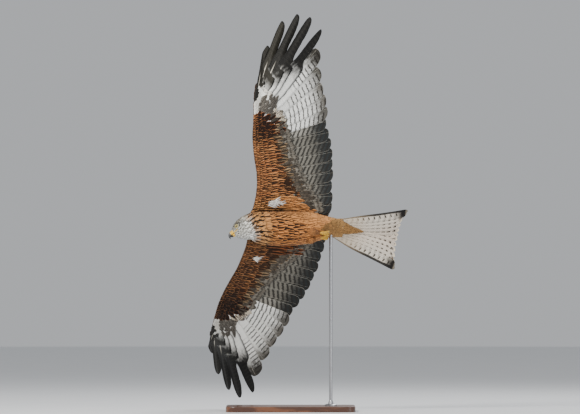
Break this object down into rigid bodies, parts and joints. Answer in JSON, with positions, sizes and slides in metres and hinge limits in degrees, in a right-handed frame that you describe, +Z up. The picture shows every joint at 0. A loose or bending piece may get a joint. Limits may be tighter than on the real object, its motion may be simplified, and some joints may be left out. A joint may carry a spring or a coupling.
{
  "type": "mounted red kite bird",
  "caption": "Life-size still model of a red kite gliding in a bank with wings and tail spread, held by a steel rod on a flat wooden base.",
  "frame": {"origin": "middle of the underside of the stand base", "axes": "+Z up along the rod; +X from the bill towards the tail, roughly along the body; +Y away from the belly side that faces the viewer"},
  "size_m": [0.7159, 0.7121, 1.4042],
  "materials": {
    "plumage_rufous": "matt rufous feathers with dark shaft streaks",
    "plumage_pale": "matt whitish grey feathers with fine dark streaks",
    "flight_feathers": "satin black, grey and white feather vanes with dark bars",
    "tail_feathers": "satin pale feather vanes with rows of small dark bars",
    "bill_horn": "smooth dark horn, yellow at the base",
    "eye": "glossy pale yellow iris with a dark pupil",
    "yellow_skin": "scaly yellow skin with dark claws",
    "base_wood": "satin varnished dark wood",
    "rod_steel": "brushed"
  },
  "bodies": {
    "root": {"bill_lower": "bill_horn", "bill_upper": "bill_horn", "eye_left": "eye", "eye_right": "eye", "foot_left": "yellow_skin", "foot_right": "yellow_skin", "head": "plumage_pale", "leg_left": "plumage_rufous", "leg_right": "plumage_rufous", "neck": "plumage_pale", "primary_left_10": "flight_feathers", "primary_left_6": "flight_feathers", "primary_left_7": "flight_feathers", "primary_left_8": "flight_feathers", "primary_left_9": "flight_feathers", "primary_right_10": "flight_feathers", "primary_right_6": "flight_feathers", "primary_right_7": "flight_feathers", "primary_right_8": "flight_feathers", "primary_right_9": "flight_feathers", "stand_base": "base_wood", "stand_rod": "rod_steel", "tail": "tail_feathers", "trunk": "plumage_rufous", "wing_left_arm": "plumage_rufous", "wing_left_hand": "flight_feathers", "wing_right_arm": "plumage_rufous", "wing_right_hand": "flight_feathers"}
  },
  "joints": []
}
